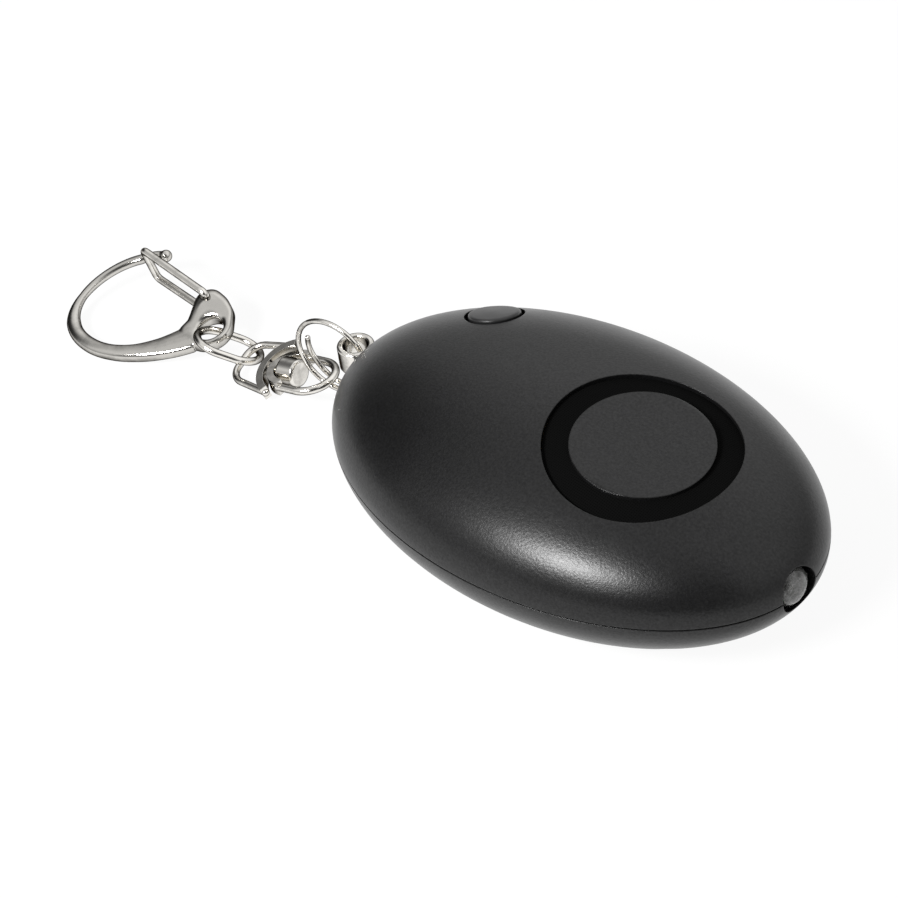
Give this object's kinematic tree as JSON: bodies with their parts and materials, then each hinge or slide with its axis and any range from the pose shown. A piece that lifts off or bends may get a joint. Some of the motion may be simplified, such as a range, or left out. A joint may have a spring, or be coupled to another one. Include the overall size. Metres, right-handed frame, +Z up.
{
  "type": "personal alarm",
  "caption": "Egg-shaped key-ring personal alarm: black split case with a ring-shaped sound slot, torch lamp, push button and pull pin, on a chain with a swivel and snap hook.",
  "frame": {"origin": "middle of the flat face under the case, on which the alarm lies", "axes": "+X along the case toward the lamp in the nose, with the chain along -X; +Z up, out of the crown; +Y across"},
  "size_m": [0.1117, 0.0412, 0.021],
  "materials": {
    "case_black": "fine spark-eroded texture",
    "button_black": "satin",
    "screw_steel": "zinc plated",
    "board_green": "solder mask",
    "chip_black": "moulded",
    "ferrite": "dull",
    "copper_wire": "enamelled",
    "chip_tan": "dull",
    "brass_sheet": "rolled",
    "white_ceramic": "silvered",
    "clear_lens": "water clear epoxy",
    "tinned_wire": "tinned",
    "switch_grey": "moulded",
    "cell_steel": "nickel plated can",
    "nickel": "bright nickel plate",
    "cast_nickel": "nickel plated casting, soft polish"
  },
  "bodies": {
    "alarm_body": {"top_shell": "case_black", "bottom_shell": "case_black", "torch_led": "clear_lens", "case_screws": "screw_steel", "circuit_board": "board_green", "driver_chip": "chip_black", "drive_transistor": "chip_black", "coil_core": "ferrite", "coil_winding": "copper_wire", "board_parts": "chip_tan", "piezo_plate": "brass_sheet", "piezo_ceramic": "white_ceramic", "piezo_contacts": "brass_sheet", "led_leads": "tinned_wire", "tact_switch": "chip_black", "pin_socket": "chip_black", "pin_contact": "brass_sheet", "button_cell_1": "cell_steel", "button_cell_2": "cell_steel", "button_cell_3": "cell_steel", "battery_plate": "tinned_wire", "battery_leaf": "tinned_wire"},
    "torch_button": {"torch_button": "button_black", "switch_plunger": "switch_grey"},
    "pull_pin": {"pull_pin": "nickel"},
    "split_ring": {"split_ring": "nickel"},
    "swivel_stirrup": {"swivel_stirrup": "nickel"},
    "swivel_loop": {"swivel_loop": "nickel", "swivel_rivet": "nickel"},
    "oval_link": {"oval_link": "nickel"},
    "hook_body": {"hook_body": "cast_nickel"},
    "hook_gate": {"hook_gate": "nickel"}
  },
  "joints": [
    {"name": "button_press", "type": "slide", "parent": "alarm_body", "child": "torch_button", "axis": [0, 0, -1], "range_m": [0, 0.0005], "stiffness_N_per_m": 1500},
    {"name": "pin_pull", "type": "slide", "parent": "alarm_body", "child": "pull_pin", "axis": [-1, 0, 0], "range_m": [0, 0.018]},
    {"name": "ring_swing", "type": "hinge", "parent": "pull_pin", "child": "split_ring", "pos_m": [-0.0348, 0, 0.0096], "axis": [0, 0, 1], "range_deg": [-30, 30]},
    {"name": "stirrup_swing", "type": "hinge", "parent": "split_ring", "child": "swivel_stirrup", "pos_m": [-0.03947, -0.00095, 0.0039], "axis": [-0.1409, 0.99, 0], "range_deg": [-10, 12]},
    {"name": "swivel_spin", "type": "hinge", "parent": "swivel_stirrup", "child": "swivel_loop", "pos_m": [-0.04923, -0.00234, 0.00223], "axis": [0.9762, 0.1389, 0.1668], "continuous": true},
    {"name": "link_swing", "type": "hinge", "parent": "swivel_loop", "child": "oval_link", "pos_m": [-0.05323, -0.00291, 0.00155], "axis": [-0.1767, 0.9549, 0.2385], "range_deg": [0, 12]},
    {"name": "hook_swing", "type": "hinge", "parent": "oval_link", "child": "hook_body", "pos_m": [-0.05882, -0.00254, 0.00319], "axis": [0, -0.2419, 0.9703], "range_deg": [-10, 10]},
    {"name": "gate_open", "type": "hinge", "parent": "hook_body", "child": "hook_gate", "pos_m": [-0.06192, 0.00042, 0.00393], "axis": [0, -0.2419, 0.9703], "range_deg": [0, 25], "stiffness_Nm_per_rad": 0.02}
  ]
}
